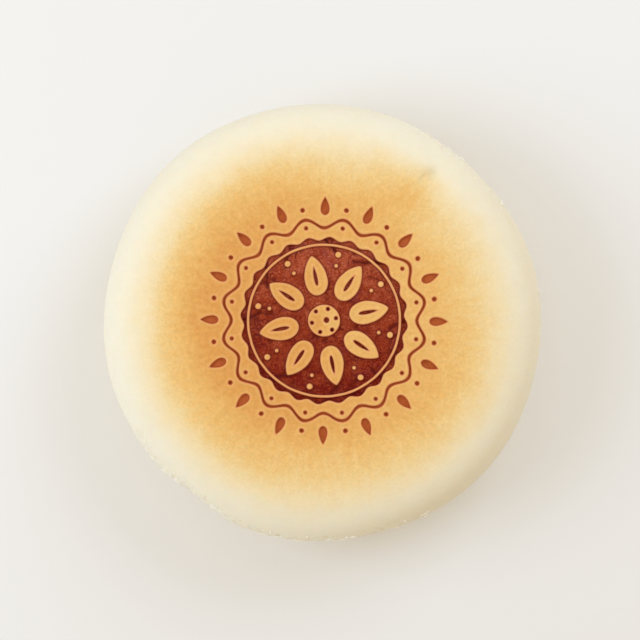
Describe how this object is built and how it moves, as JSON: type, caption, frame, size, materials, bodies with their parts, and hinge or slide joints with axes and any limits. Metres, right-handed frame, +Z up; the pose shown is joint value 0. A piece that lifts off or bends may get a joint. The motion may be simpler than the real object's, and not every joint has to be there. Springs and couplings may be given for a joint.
{
  "type": "jiggly cheesecake",
  "caption": "Whole round souffle cheesecake with a crowned golden top, a pale soft shoulder and side, and a flower mark pressed in by a hot iron.",
  "frame": {"origin": "middle of the flat base, on the surface that the cake stands on", "axes": "+Z up through the crown; -Y towards the lower edge of the picture, +X to its right"},
  "size_m": [0.1816, 0.1812, 0.0573],
  "materials": {
    "baked_skin": "soft matte baked skin, golden on top and pale cream on the shoulder and side, with a dark red-brown pressed mark"
  },
  "bodies": {
    "root": {"cake": "baked_skin"}
  },
  "joints": []
}
